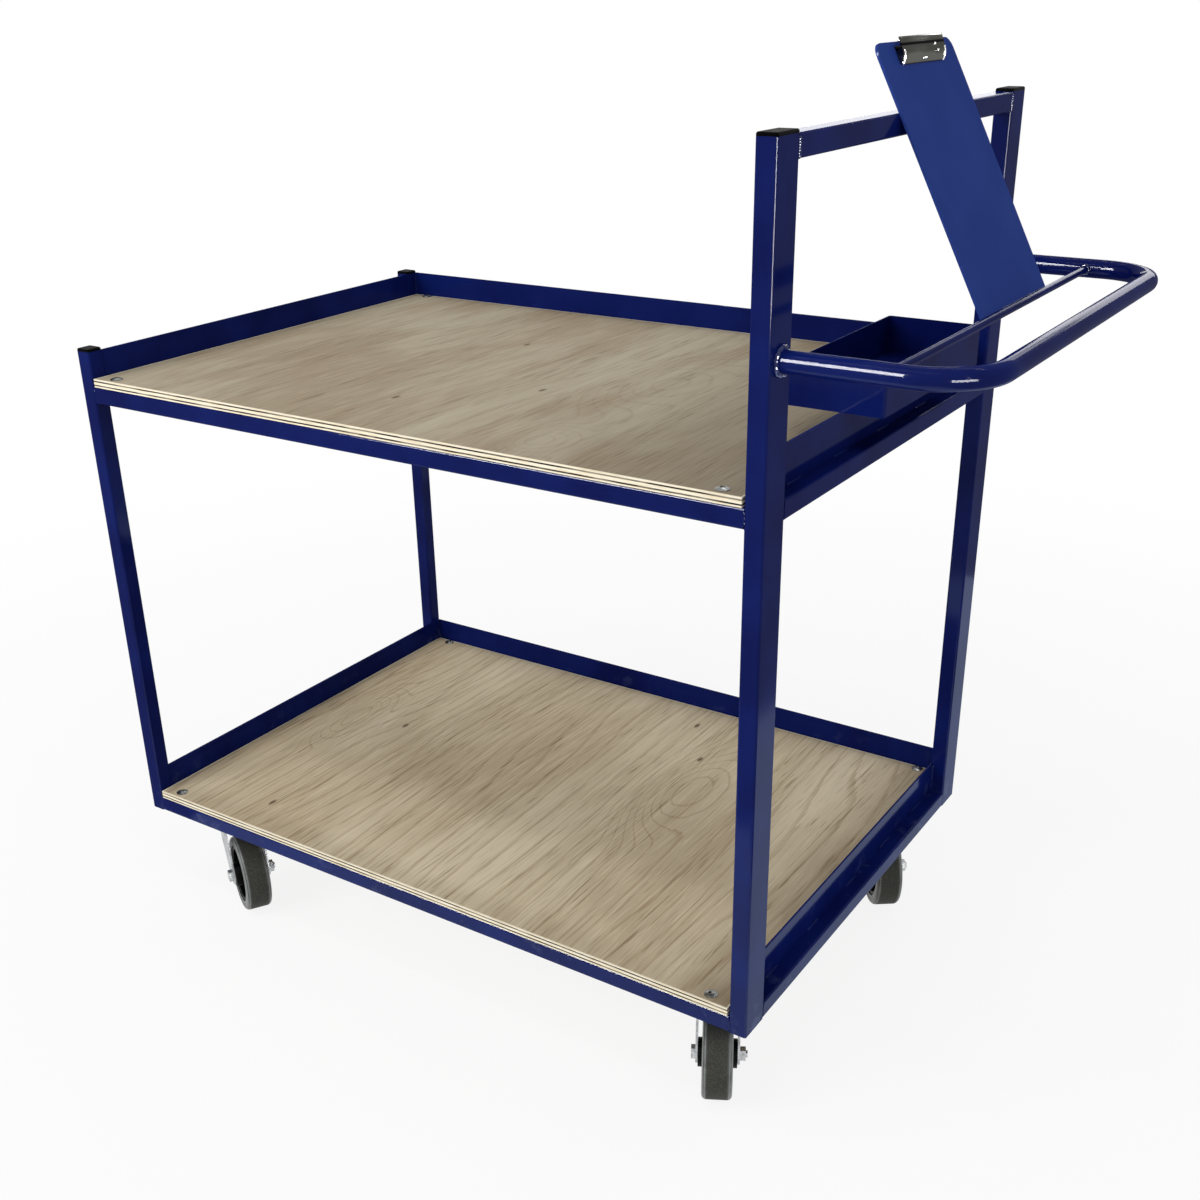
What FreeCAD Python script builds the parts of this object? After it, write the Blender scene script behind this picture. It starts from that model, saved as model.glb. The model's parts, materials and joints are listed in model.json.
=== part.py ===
import FreeCAD, Part
import math
import os

from FreeCAD import Placement, Rotation, Vector

# Order picking trolley: a welded box section frame with two plywood decks, a push handle,
# a parts tray and a leaning clipboard at the handle end, on four swivel casters.
# Millimetres, +Z up, floor at Z 0, handle end toward +X, open loading side toward -Y.

# Welded frame
frame_length = 1120.0
frame_width = 740.0
box_side = 25.0
box_wall = 2.0
box_corner = 3.0
inner_corner_share = 0.35
rear_post_depth = 50.0
rear_post_height = 1098.0
shelf_pitch = 691.0
lip_height = 50.0
lip_sheet = 3.0

# Plywood decks and the screws that hold them
deck_thick = 12.0
deck_gap = 3.0
screw_inset = 60.0
screw_edge = 15.0
screw_diameter = 6.0
screw_head_diameter = 18.0
screw_head_height = 3.2
screw_head_rim = 0.8
screw_socket_across = 6.0
screw_socket_depth = 1.8
screw_tip = 6.0

# Plastic caps in the post tops
cap_thick = 4.0
cap_edge = 1.5
cap_plug = 14.0

# Push handle and the rod that carries the board's foot
handle_height = 875.0
handle_reach = 216.0
handle_tube = 25.0
handle_wall = 2.0
handle_bend = 75.0
rod_diameter = 10.0
rod_reach = 119.0

# Parts tray on the upper lip at the handle end
tray_length = 316.0
tray_width = 130.0
tray_depth = 52.0
tray_sheet = 1.5
tray_corner = 4.0
tray_overhang = 32.0
tray_offset = 29.0

# Clipboard plate
board_width = 231.0
board_length = 328.0
board_sheet = 3.0
board_corner = 15.0
board_offset = 48.0

# Lever clip on the board
clip_width = 132.0
clip_drop = 14.0
clip_pin_height = 4.2
clip_pin_diameter = 3.2
clip_sheet = 1.2
clip_base_up = 8.0
clip_base_down = 9.0
clip_ear_radius = 3.0
clip_side_gap = 0.4
jaw_sheet = 1.2
jaw_reach = 14.0
jaw_lip_gap = 0.4
lever_reach = 15.0
lever_rise = 1.5
rivet_spread = 80.0
rivet_diameter = 4.0
rivet_head_diameter = 8.0
rivet_head_height = 0.9

# Casters
wheel_diameter = 125.0
tyre_width = 40.0
tread_width = 28.0
tyre_thick = 15.0
tyre_shoulder = 10.0
shoulder_bulge_share = 0.25
rim_thick = 6.0
rim_inset = 2.0
web_thick = 12.0
hub_diameter = 40.0
hub_stand = 7.0
hub_play = 0.4
trail = 46.0
axle_diameter = 10.0
axle_hex = 17.0
axle_head = 6.0
axle_nut = 8.0
axle_stub = 2.5
fork_sheet = 3.0
fork_bend = 6.0
fork_crown = 64.0
fork_foot_radius = 15.0
wheel_top_gap = 15.0
race_height = 8.0
race_outer = 60.0
race_inner = 40.0
king_diameter = 12.0
king_flare = 2.5
king_head_diameter = 24.0
king_head_height = 6.0
plate_length = 105.0
plate_width = 85.0
plate_thick = 4.0
plate_corner = 8.0
bolt_spread_x = 80.0
bolt_spread_y = 60.0
bolt_diameter = 8.0
bolt_hex = 13.0
bolt_head = 5.3
bolt_nut = 6.5
bolt_stub = 2.0
front_caster_inset_x = 131.0
front_caster_inset_y = 64.0
rear_caster_inset_x = 91.0
rear_caster_inset_y = 96.0
corner_plate_thick = 5.0
corner_plate_edge = 8.0

# Way in which each wheel trails at rest, in degrees from +X toward +Y
heading_degrees = {"front_left": -31.0, "front_right": 31.0, "rear_left": -62.0, "rear_right": -54.0}

# Fits
pin_clearance = 0.05
hole_clearance = 0.1
weld_gap = 0.2
running_gap = 0.1
overrun = 2.0
tiny = 0.001

# Places worked out from the sizes above
caster_height = wheel_diameter + wheel_top_gap + fork_sheet + race_height + plate_thick
overall_length = frame_length + handle_reach + handle_tube / 2
front_x = -overall_length / 2
rear_x = front_x + frame_length
left_y = -frame_width / 2
right_y = frame_width / 2
base_z = caster_height
shelf_z = {"lower": base_z, "upper": base_z + shelf_pitch}
front_top_z = shelf_z["upper"] + box_side + lip_height
rear_top_z = base_z + rear_post_height
handle_z = base_z + handle_height
rod_x = rear_x + rod_reach
ends = {"front": -1, "rear": 1}
sides = {"left": -1, "right": 1}
X_AXIS = Vector(1, 0, 0)
Y_AXIS = Vector(0, 1, 0)
Z_AXIS = Vector(0, 0, 1)
QUARTER = 90.0

nodes = {}


def block(x0, x1, y0, y1, z0, z1):
    return Part.makeBox(x1 - x0, y1 - y0, z1 - z0, Vector(x0, y0, z0))


def rod(radius, start, end):
    run = end - start
    return Part.makeCylinder(radius, run.Length, start, run)


def edges_along(shape, axis):
    def runs_along(edge):
        way = edge.tangentAt(edge.FirstParameter)
        return edge.Curve.TypeId == "Part::GeomLine" and way.isEqual(axis * way.dot(axis), tiny)

    return [edge for edge in shape.Edges if runs_along(edge)]


def rounded_block(x0, x1, y0, y1, z0, z1, radius, axis):
    shape = block(x0, x1, y0, y1, z0, z1)
    return shape.makeFillet(radius, edges_along(shape, axis))


def box_tube(x0, x1, y0, y1, z0, z1, axis):
    outer = rounded_block(x0, x1, y0, y1, z0, z1, box_corner, axis)
    inset = Vector(box_wall, box_wall, box_wall) - axis * (box_wall + overrun)
    inner = rounded_block(
        x0 + inset.x, x1 - inset.x, y0 + inset.y, y1 - inset.y, z0 + inset.z, z1 - inset.z,
        box_corner * inner_corner_share, axis,
    )
    return outer.cut(inner)


def hexagon(across, height, base):
    radius = across / math.sqrt(3)
    angles = [math.pi / 3 * step for step in range(7)]
    points = [base + Vector(radius * math.cos(a), radius * math.sin(a), 0) for a in angles]
    return Part.Face(Part.makePolygon(points)).extrude(Z_AXIS * height)


# Round run that leaves its peak level, at right angles to Z, and falls to its foot
def arc_from_peak(peak, foot):
    run = foot - peak
    level = Vector(run.x, run.y, 0)
    half_turn = math.atan2(-run.z, level.Length)
    radius = run.Length / (2 * math.sin(half_turn))
    middle = peak + level * (radius * math.sin(half_turn) / level.Length)
    middle = middle - Z_AXIS * (radius * (1 - math.cos(half_turn)))
    return Part.Arc(peak, middle, foot).toShape()


def profile(points, axis, length):
    return Part.Face(Part.makePolygon(points + points[:1])).extrude(axis * length)


# Posts: square tube at the front, deep tube at the handle end
def post_box(end, side):
    depth = box_side if end == "front" else rear_post_depth
    x0 = front_x if end == "front" else rear_x - box_side
    y0 = left_y if side == "left" else right_y - depth
    return x0, x0 + box_side, y0, y0 + depth


def make_posts():
    for end in ends:
        top = front_top_z if end == "front" else rear_top_z
        for side in sides:
            nodes[f"{end}_{side}_post"] = box_tube(*post_box(end, side), base_z, top, Z_AXIS)


def make_caps():
    for end in ends:
        top = front_top_z if end == "front" else rear_top_z
        caps = []
        for side in sides:
            x0, x1, y0, y1 = post_box(end, side)
            flange = rounded_block(x0, x1, y0, y1, top, top + cap_thick, box_corner, Z_AXIS)
            rim = [edge for edge in flange.Edges if edge.BoundBox.ZMin > top + cap_thick / 2]
            flange = flange.makeChamfer(cap_edge, rim)
            inset = box_wall + hole_clearance
            plug = rounded_block(
                x0 + inset, x1 - inset, y0 + inset, y1 - inset, top - cap_plug, top,
                box_corner * inner_corner_share, Z_AXIS,
            )
            caps.append(flange.fuse(plug).removeSplitter())
        nodes[f"{end}_post_caps"] = Part.makeCompound(caps)


# Deck screws stand over the middle of the side rails
def screw_places():
    xs = (front_x + screw_inset, rear_x - screw_inset)
    ys = (left_y + screw_edge, right_y - screw_edge)
    return [(x, y) for x in xs for y in ys]


def screw_holes(shape, z0, z1):
    radius = screw_diameter / 2 + hole_clearance
    for x, y in screw_places():
        shape = shape.cut(rod(radius, Vector(x, y, z0), Vector(x, y, z1)))
    return shape


def make_rails():
    for level, z0 in shelf_z.items():
        z1 = z0 + box_side
        for side in sides:
            y0 = left_y if side == "left" else right_y - box_side
            rail = box_tube(
                front_x + box_side, rear_x - box_side, y0, y0 + box_side, z0, z1, X_AXIS)
            nodes[f"{level}_{side}_rail"] = screw_holes(rail, z1 - box_wall - overrun, z1 + overrun)
        for end in ends:
            x0, x1, y0, y1 = post_box(end, "left")
            nodes[f"{level}_{end}_rail"] = box_tube(x0, x1, y1, -y1, z0, z1, Y_AXIS)


# Upstanding lips on three sides of each deck, the loading side left open
def make_lips():
    for level, z0 in shelf_z.items():
        foot = z0 + box_side
        top = foot + lip_height
        front_in = front_x + box_side
        rear_in = rear_x - box_side
        front_y = post_box("front", "left")[3]
        rear_y = post_box("rear", "left")[3]
        nodes[f"{level}_front_lip"] = block(front_in - lip_sheet, front_in, front_y, -front_y, foot, top)
        nodes[f"{level}_rear_lip"] = block(rear_in, rear_in + lip_sheet, rear_y, -rear_y, foot, top)
        nodes[f"{level}_side_lip"] = block(front_in, rear_in, right_y - lip_sheet, right_y, foot, top)


def make_decks():
    for level, z0 in shelf_z.items():
        foot = z0 + box_side
        top = foot + deck_thick
        deck = block(
            front_x + box_side + deck_gap, rear_x - box_side - deck_gap,
            left_y, right_y - lip_sheet - deck_gap, foot, top)
        nodes[f"{level}_deck"] = screw_holes(deck, foot - overrun, top + overrun)
        nodes[f"{level}_deck_screws"] = Part.makeCompound(
            [deck_screw().translated(Vector(x, y, top)) for x, y in screw_places()])


def deck_screw():
    half = screw_head_diameter / 2
    rim = Vector(half, 0, screw_head_rim)
    peak = Vector(0, 0, screw_head_height)
    crown = arc_from_peak(peak, rim)
    side = Part.makePolygon([peak, Vector(), Vector(half, 0, 0), rim])
    head = Part.Face(Part.Wire(side.Edges + [crown])).revolve(Vector(), Z_AXIS, 360)
    socket = hexagon(
        screw_socket_across, screw_socket_depth + overrun,
        Vector(0, 0, screw_head_height - screw_socket_depth))
    reach = deck_thick + box_wall + screw_tip
    shank = rod(screw_diameter / 2, Vector(0, 0, -reach), Vector())
    return head.cut(socket).fuse(shank).removeSplitter()


def make_crossbar():
    y0 = post_box("rear", "left")[3]
    nodes["crossbar"] = box_tube(
        rear_x - box_side, rear_x, y0, -y0, rear_top_z - box_side, rear_top_z, Y_AXIS)


# Push handle: one bent tube that leaves the middle of each rear post
def handle_path():
    arm_y = left_y + rear_post_depth / 2
    grip_x = rear_x + handle_reach
    bend_x = grip_x - handle_bend
    bend_y = arm_y + handle_bend
    lean = handle_bend / math.sqrt(2)

    def at(x, y):
        return Vector(x, y, handle_z)

    return Part.Wire([
        Part.LineSegment(at(rear_x, arm_y), at(bend_x, arm_y)).toShape(),
        Part.Arc(at(bend_x, arm_y), at(bend_x + lean, bend_y - lean), at(grip_x, bend_y)).toShape(),
        Part.LineSegment(at(grip_x, bend_y), at(grip_x, -bend_y)).toShape(),
        Part.Arc(at(grip_x, -bend_y), at(bend_x + lean, lean - bend_y), at(bend_x, -arm_y)).toShape(),
        Part.LineSegment(at(bend_x, -arm_y), at(rear_x, -arm_y)).toShape(),
    ])


def swept(path, radius):
    start = path.Vertexes[0].Point
    ring = Part.Wire(Part.makeCircle(radius, start, X_AXIS))
    return path.makePipeShell([ring], True, False)


def make_handle():
    path = handle_path()
    nodes["push_handle"] = swept(path, handle_tube / 2).cut(swept(path, handle_tube / 2 - handle_wall))
    arm_y = left_y + rear_post_depth / 2
    bar = rod(rod_diameter / 2, Vector(rod_x, arm_y, handle_z), Vector(rod_x, -arm_y, handle_z))
    for y in (arm_y, -arm_y):
        arm = rod(
            handle_tube / 2 + weld_gap,
            Vector(rear_x, y, handle_z), Vector(rear_x + handle_reach, y, handle_z))
        bar = bar.cut(arm)
    nodes["board_rest_rod"] = bar


# Folded tray standing on the upper lip at the handle end
def make_tray():
    x1 = rear_x + tray_overhang
    x0 = x1 - tray_width
    y0 = tray_offset - tray_length / 2
    y1 = tray_offset + tray_length / 2
    z0 = shelf_z["upper"] + box_side + lip_height
    outer = rounded_block(x0, x1, y0, y1, z0, z0 + tray_depth, tray_corner, Z_AXIS)
    inner = rounded_block(
        x0 + tray_sheet, x1 - tray_sheet, y0 + tray_sheet, y1 - tray_sheet,
        z0 + tray_sheet, z0 + tray_depth + overrun, tray_corner - tray_sheet, Z_AXIS)
    nodes["pen_tray"] = outer.cut(inner)


# Board: its foot sits on the rod and its back leans on the top edge of the crossbar.
# In its own frame x runs across, y up the board and z out of its face.
def board_placement():
    back = rod_x - (rear_x - box_corner)
    rise = (rear_top_z - box_corner) - handle_z
    standoff = box_corner + board_sheet / 2 + weld_gap
    tilt = math.acos(standoff / math.hypot(back, rise)) - math.atan2(rise, back)
    up = Vector(-math.sin(tilt), 0, math.cos(tilt))
    face = Vector(math.cos(tilt), 0, math.sin(tilt))
    foot = Vector(rod_x, board_offset, handle_z) + up * (rod_diameter / 2 + weld_gap)
    return Placement(foot, Rotation(Y_AXIS, up, face, "ZXY"))


def on_board(shape):
    shape.Placement = board_placement().multiply(shape.Placement)
    return shape


def rivet_places():
    y = board_length - clip_drop
    return [Vector(side * rivet_spread / 2, y, board_sheet / 2) for side in sides.values()]


def make_board():
    half = board_width / 2
    face = board_sheet / 2
    plate = block(-half, half, 0, board_length, -face, face)
    top = [edge for edge in edges_along(plate, Z_AXIS) if edge.CenterOfMass.y > board_length / 2]
    plate = plate.makeFillet(board_corner, top)
    radius = rivet_diameter / 2 + pin_clearance
    for place in rivet_places():
        plate = plate.cut(rod(radius, place - Z_AXIS * (board_sheet + overrun), place + Z_AXIS * overrun))
    nodes["clipboard"] = on_board(plate)


# Lever clip: a riveted base with two ears, a pin, and a sprung jaw that turns on the pin
def clip_pin_place():
    return Vector(0, board_length - clip_drop, board_sheet / 2 + clip_pin_height)


def clip_shape(points, start, width):
    place = clip_pin_place()
    loop = [place + Vector(start, y, z) for y, z in points]
    return profile(loop, X_AXIS, width)


def pin_hole():
    place = clip_pin_place()
    half = X_AXIS * (clip_width / 2 + overrun)
    return rod(clip_pin_diameter / 2 + pin_clearance, place - half, place + half)


def make_clip_base():
    half = clip_width / 2 - jaw_sheet - clip_side_gap
    floor = -clip_pin_height
    base = clip_shape(
        [(-clip_base_down, floor), (clip_base_up, floor),
         (clip_base_up, floor + clip_sheet), (-clip_base_down, floor + clip_sheet)],
        -half, 2 * half)
    for start in (-half, half - clip_sheet):
        ear = clip_shape(
            [(-clip_ear_radius, floor), (clip_ear_radius, floor),
             (clip_ear_radius, 0), (-clip_ear_radius, 0)],
            start, clip_sheet)
        boss = rod(
            clip_ear_radius, clip_pin_place() + X_AXIS * start,
            clip_pin_place() + X_AXIS * (start + clip_sheet))
        base = base.fuse(ear).fuse(boss)
    for place in rivet_places():
        radius = rivet_diameter / 2 + pin_clearance
        base = base.cut(rod(radius, place - Z_AXIS * overrun, place + Z_AXIS * (clip_sheet + overrun)))
    nodes["clip_base"] = on_board(base.cut(pin_hole()).removeSplitter())


# The jaw's cover leaves the pin level and curls down to its lip; the lever rises the other way
def make_clip_jaw():
    place = clip_pin_place()
    under = clip_ear_radius + clip_side_gap
    half = clip_width / 2

    def at(y, z):
        return place + Vector(-half, y, z)

    lip = jaw_lip_gap - clip_pin_height
    slope = lever_rise / lever_reach
    peak = at(0, under + jaw_sheet)
    low_peak = at(0, under)
    outer = arc_from_peak(peak, at(-jaw_reach, lip))
    inner = arc_from_peak(low_peak, at(jaw_sheet - jaw_reach, lip))
    tip = under + lever_rise
    lever = Part.makePolygon([low_peak, at(lever_reach, tip), at(lever_reach, tip + jaw_sheet), peak])
    toe = Part.makePolygon([at(-jaw_reach, lip), at(jaw_sheet - jaw_reach, lip)])
    cover = Part.Face(Part.Wire(Part.__sortEdges__([outer, inner] + lever.Edges + toe.Edges)))
    jaw = cover.extrude(X_AXIS * clip_width)
    heel = clip_ear_radius
    skirt = Part.makePolygon([
        at(-jaw_reach, lip), at(0, lip), at(heel, 0), at(heel, under + slope * heel), peak])
    cheek = Part.Face(Part.Wire(Part.__sortEdges__([outer] + skirt.Edges))).extrude(X_AXIS * jaw_sheet)
    far_cheek = cheek.translated(X_AXIS * (clip_width - jaw_sheet))
    nodes["clip_jaw"] = on_board(jaw.fuse(cheek).fuse(far_cheek).cut(pin_hole()).removeSplitter())


def make_clip_pin():
    place = clip_pin_place()
    half = X_AXIS * (clip_width / 2)
    nodes["clip_pin"] = on_board(rod(clip_pin_diameter / 2, place - half, place + half))


def make_clip_rivets():
    rivets = []
    for place in rivet_places():
        seat = place + Z_AXIS * clip_sheet
        back = place - Z_AXIS * board_sheet
        shank = rod(rivet_diameter / 2, back, seat)
        head = rod(rivet_head_diameter / 2, seat, seat + Z_AXIS * rivet_head_height)
        tail = rod(rivet_head_diameter / 2, back - Z_AXIS * rivet_head_height, back)
        rivets.append(shank.fuse(head).fuse(tail).removeSplitter())
    nodes["clip_rivets"] = on_board(Part.makeCompound(rivets))


# Casters are drawn about their swivel axis with the top of the plate at Z 0
axle_z = wheel_diameter / 2 - caster_height
crown_top = -plate_thick - race_height
crown_under = crown_top - fork_sheet
hub_width = tyre_width + 2 * hub_stand
fork_inside = hub_width + 2 * hub_play
axle_place = Vector(trail, 0, axle_z)


def caster_names():
    return [(f"{end}_{side}", ends[end], sides[side]) for end in ends for side in sides]


def caster_place(end, side):
    if end < 0:
        return Vector(front_x + front_caster_inset_x, side * (right_y - front_caster_inset_y), base_z)
    return Vector(rear_x - rear_caster_inset_x, side * (right_y - rear_caster_inset_y), base_z)


def bolt_places():
    xs = (-bolt_spread_x / 2, bolt_spread_x / 2)
    ys = (-bolt_spread_y / 2, bolt_spread_y / 2)
    return [Vector(x, y, 0) for x in xs for y in ys]


def bolt_holes(shape):
    depth = plate_thick + corner_plate_thick + overrun
    for place in bolt_places():
        hole = rod(bolt_diameter / 2 + hole_clearance, place - Z_AXIS * depth, place + Z_AXIS * depth)
        shape = shape.cut(hole)
    return shape


def caster_plate():
    x, y = plate_length / 2, plate_width / 2
    plate = rounded_block(-x, x, -y, y, -plate_thick, 0, plate_corner, Z_AXIS)
    radius = king_diameter / 2 + pin_clearance
    plate = plate.cut(rod(radius, Vector(0, 0, -plate_thick - overrun), Vector(0, 0, overrun)))
    flare = Part.makeCone(radius, radius + king_flare, king_flare, Vector(0, 0, -king_flare), Z_AXIS)
    return bolt_holes(plate.cut(flare))


def king_pin():
    radius = king_diameter / 2
    seat = crown_under - running_gap
    shank = rod(radius, Vector(0, 0, seat), Vector())
    flare = Part.makeCone(radius, radius + king_flare, king_flare, Vector(0, 0, -king_flare), Z_AXIS)
    head = rod(king_head_diameter / 2, Vector(0, 0, seat - king_head_height), Vector(0, 0, seat))
    return shank.fuse(flare).fuse(head).removeSplitter()


def tangent_point(corner, centre, radius, side):
    run = centre - corner
    angle = math.atan2(run.z, run.x) + side * math.asin(radius / run.Length)
    reach = math.sqrt(run.Length ** 2 - radius ** 2)
    return corner + Vector(math.cos(angle), 0, math.sin(angle)) * reach


def fork_outline():
    back = Vector(-fork_crown / 2, 0, crown_top)
    front = Vector(fork_crown / 2, 0, crown_top)
    down = axle_place - Vector(0, 0, crown_top)
    low = axle_place + down / down.Length * fork_foot_radius
    ahead = tangent_point(front, axle_place, fork_foot_radius, 1)
    behind = tangent_point(back, axle_place, fork_foot_radius, -1)
    return Part.Face(Part.Wire([
        Part.LineSegment(back, front).toShape(),
        Part.LineSegment(front, ahead).toShape(),
        Part.Arc(ahead, low, behind).toShape(),
        Part.LineSegment(behind, back).toShape(),
    ]))


def fork():
    half = fork_inside / 2
    outside = half + fork_sheet
    reach = trail + fork_crown
    foot = axle_z - fork_foot_radius - overrun
    outer = block(-reach, reach, -outside, outside, foot, crown_top)
    outer = outer.makeFillet(
        fork_bend, [e for e in edges_along(outer, X_AXIS) if e.CenterOfMass.z > axle_z])
    inner = block(-reach - overrun, reach + overrun, -half, half, foot - overrun, crown_under)
    inner = inner.makeFillet(
        fork_bend - fork_sheet, [e for e in edges_along(inner, X_AXIS) if e.CenterOfMass.z > axle_z])
    sides_cut = fork_outline().extrude(Y_AXIS * (2 * outside)).translated(Y_AXIS * -outside)
    shape = outer.cut(inner).common(sides_cut)
    ring_top = -plate_thick - running_gap
    ring = rod(race_outer / 2, Vector(0, 0, crown_top), Vector(0, 0, ring_top))
    ring = ring.cut(rod(race_inner / 2, Vector(0, 0, crown_top), Vector(0, 0, ring_top)))
    bore = rod(
        king_diameter / 2 + pin_clearance, Vector(0, 0, crown_under - overrun), Vector(0, 0, ring_top))
    span = Y_AXIS * (outside + overrun)
    axle_hole = rod(axle_diameter / 2 + pin_clearance, axle_place - span, axle_place + span)
    return shape.fuse(ring).cut(bore).cut(axle_hole).removeSplitter()


def axle_bolt():
    outside = fork_inside / 2 + fork_sheet
    turn = Placement(axle_place, Rotation(X_AXIS, -QUARTER))
    radius = axle_diameter / 2
    end = outside + axle_nut + axle_stub
    head = hexagon(axle_hex, axle_head, Vector(0, 0, -outside - axle_head))
    bolt = head.fuse(rod(radius, Vector(0, 0, -outside), Vector(0, 0, end))).removeSplitter()
    nut = hexagon(axle_hex, axle_nut, Vector(0, 0, outside))
    nut = nut.cut(rod(radius + pin_clearance, Vector(0, 0, outside), Vector(0, 0, outside + axle_nut)))
    pair = Part.makeCompound([bolt, nut])
    pair.Placement = turn
    return pair


# Wheel sections are drawn with x as the radius and y along the axle
def turned(edges):
    return Part.Face(Part.Wire(edges)).revolve(Vector(), Y_AXIS, 360).translated(axle_place)


def tyre():
    outer = wheel_diameter / 2
    inner = outer - tyre_thick
    wide = tyre_width / 2
    flat = tread_width / 2
    shoulder = outer - tyre_shoulder
    lift = tyre_shoulder * shoulder_bulge_share
    edges = Part.makePolygon([
        Vector(shoulder, -wide, 0), Vector(inner, -wide, 0),
        Vector(inner, wide, 0), Vector(shoulder, wide, 0)]).Edges
    for side in (1, -1):
        middle = Vector((shoulder + outer) / 2 + lift, side * ((wide + flat) / 2 + lift), 0)
        ends_at = [Vector(shoulder, side * wide, 0), middle, Vector(outer, side * flat, 0)]
        edges.append(Part.Arc(*ends_at).toShape())
    edges.append(Part.LineSegment(Vector(outer, flat, 0), Vector(outer, -flat, 0)).toShape())
    return turned(Part.__sortEdges__(edges))


def wheel_centre():
    bore = axle_diameter / 2 + pin_clearance
    hub = hub_diameter / 2
    rim = wheel_diameter / 2 - tyre_thick
    steps = [
        (bore, hub_width / 2), (hub, hub_width / 2),
        (hub, web_thick / 2), (rim - rim_thick, web_thick / 2),
        (rim - rim_thick, tyre_width / 2 - rim_inset), (rim, tyre_width / 2 - rim_inset),
    ]
    loop = [Vector(r, y, 0) for r, y in steps] + [Vector(r, -y, 0) for r, y in reversed(steps)]
    return turned(Part.makePolygon(loop + loop[:1]).Edges)


def caster_bolts():
    top = corner_plate_thick
    fasteners = []
    for place in bolt_places():
        under = place - Z_AXIS * plate_thick
        head = hexagon(bolt_hex, bolt_head, under - Z_AXIS * bolt_head)
        end = place + Z_AXIS * (top + bolt_nut + bolt_stub)
        fasteners.append(head.fuse(rod(bolt_diameter / 2, under, end)).removeSplitter())
        nut = hexagon(bolt_hex, bolt_nut, place + Z_AXIS * top)
        nut = nut.cut(rod(bolt_diameter / 2 + pin_clearance, place, end))
        fasteners.append(nut)
    return Part.makeCompound(fasteners)


# Plate welded into each lower corner of the frame, flush with the underside of the rails
def corner_plate(name, end, side):
    place = caster_place(end, side)
    x_out = front_x + box_side if end < 0 else rear_x - box_side
    y_out = side * (right_y - box_side)
    x_in = place.x - end * (plate_length / 2 + corner_plate_edge)
    y_in = place.y - side * (plate_width / 2 + corner_plate_edge)
    xs = sorted((x_out, x_in))
    ys = sorted((y_out, y_in))
    plate = block(*xs, *ys, base_z, base_z + corner_plate_thick)
    post = nodes[f"{name}_post"].BoundBox
    plate = plate.cut(block(post.XMin, post.XMax, post.YMin, post.YMax, post.ZMin, post.ZMax))
    return bolt_holes(plate.translated(-place)).translated(place)


def make_casters():
    pins, bolts, corners = [], [], []
    turning = {
        "fork": fork(), "axle_bolt": axle_bolt(), "wheel_centre": wheel_centre(), "tyre": tyre()}
    for name, end, side in caster_names():
        place = caster_place(end, side)
        rest = Placement(place, Rotation(Z_AXIS, heading_degrees[name]))
        for piece, shape in turning.items():
            copy = shape.copy()
            copy.Placement = rest.multiply(copy.Placement)
            nodes[f"{name}_{piece}"] = copy
        nodes[f"{name}_caster_plate"] = caster_plate().translated(place)
        pins.append(king_pin().translated(place))
        bolts.append(caster_bolts().translated(place))
        corners.append(corner_plate(name, end, side))
    nodes["caster_king_pins"] = Part.makeCompound(pins)
    nodes["caster_bolts"] = Part.makeCompound([solid for group in bolts for solid in group.Solids])
    nodes["caster_corner_plates"] = Part.makeCompound(corners)


make_posts()
make_caps()
make_rails()
make_lips()
make_decks()
make_crossbar()
make_handle()
make_tray()
make_board()
make_clip_base()
make_clip_jaw()
make_clip_pin()
make_clip_rivets()
make_casters()

os.makedirs("parts", exist_ok=True)
for node, shape in nodes.items():
    shape.exportStep(f"parts/{node}.step")
    print(node, len(shape.Solids), "solids", round(shape.Volume), "mm3", shape.isValid())
print(len(nodes), "nodes")
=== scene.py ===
import json
import math

import bmesh
import bpy
from mathutils import Matrix, Vector


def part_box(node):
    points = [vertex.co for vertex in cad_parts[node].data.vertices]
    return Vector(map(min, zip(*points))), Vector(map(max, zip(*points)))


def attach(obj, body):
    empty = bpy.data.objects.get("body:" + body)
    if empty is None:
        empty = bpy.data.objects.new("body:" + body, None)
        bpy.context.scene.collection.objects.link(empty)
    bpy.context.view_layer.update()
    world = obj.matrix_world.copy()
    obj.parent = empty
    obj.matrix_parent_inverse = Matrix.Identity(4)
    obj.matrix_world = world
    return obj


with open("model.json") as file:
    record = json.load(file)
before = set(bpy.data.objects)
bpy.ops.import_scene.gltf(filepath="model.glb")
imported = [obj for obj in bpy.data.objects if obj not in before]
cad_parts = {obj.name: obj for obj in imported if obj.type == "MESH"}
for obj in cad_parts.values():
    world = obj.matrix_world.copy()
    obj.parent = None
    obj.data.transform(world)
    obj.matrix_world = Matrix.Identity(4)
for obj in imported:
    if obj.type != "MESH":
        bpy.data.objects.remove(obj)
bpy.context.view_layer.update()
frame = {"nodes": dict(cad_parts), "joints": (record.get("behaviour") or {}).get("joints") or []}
nodes = frame["nodes"]
joints = {joint["name"]: joint for joint in frame["joints"]}
scene = bpy.context.scene
scene.view_settings.view_transform = "Standard"
print("frame loaded:", len(nodes), "nodes")


def toLinear(red, green, blue):
    parts = [c / 255 for c in (red, green, blue)]
    return tuple(c / 12.92 if c <= 0.04045 else ((c + 0.055) / 1.055) ** 2.4 for c in parts) + (1.0,)


# From one number to another, by a share of 0 to 1
def between(low, high, share):
    return low + (high - low) * share


# A place for a shape whose own axis points along a direction
def stood(place, direction, axis="Z"):
    return Matrix.Translation(place) @ Vector(direction).to_track_quat(axis, "Y").to_matrix().to_4x4()


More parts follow.
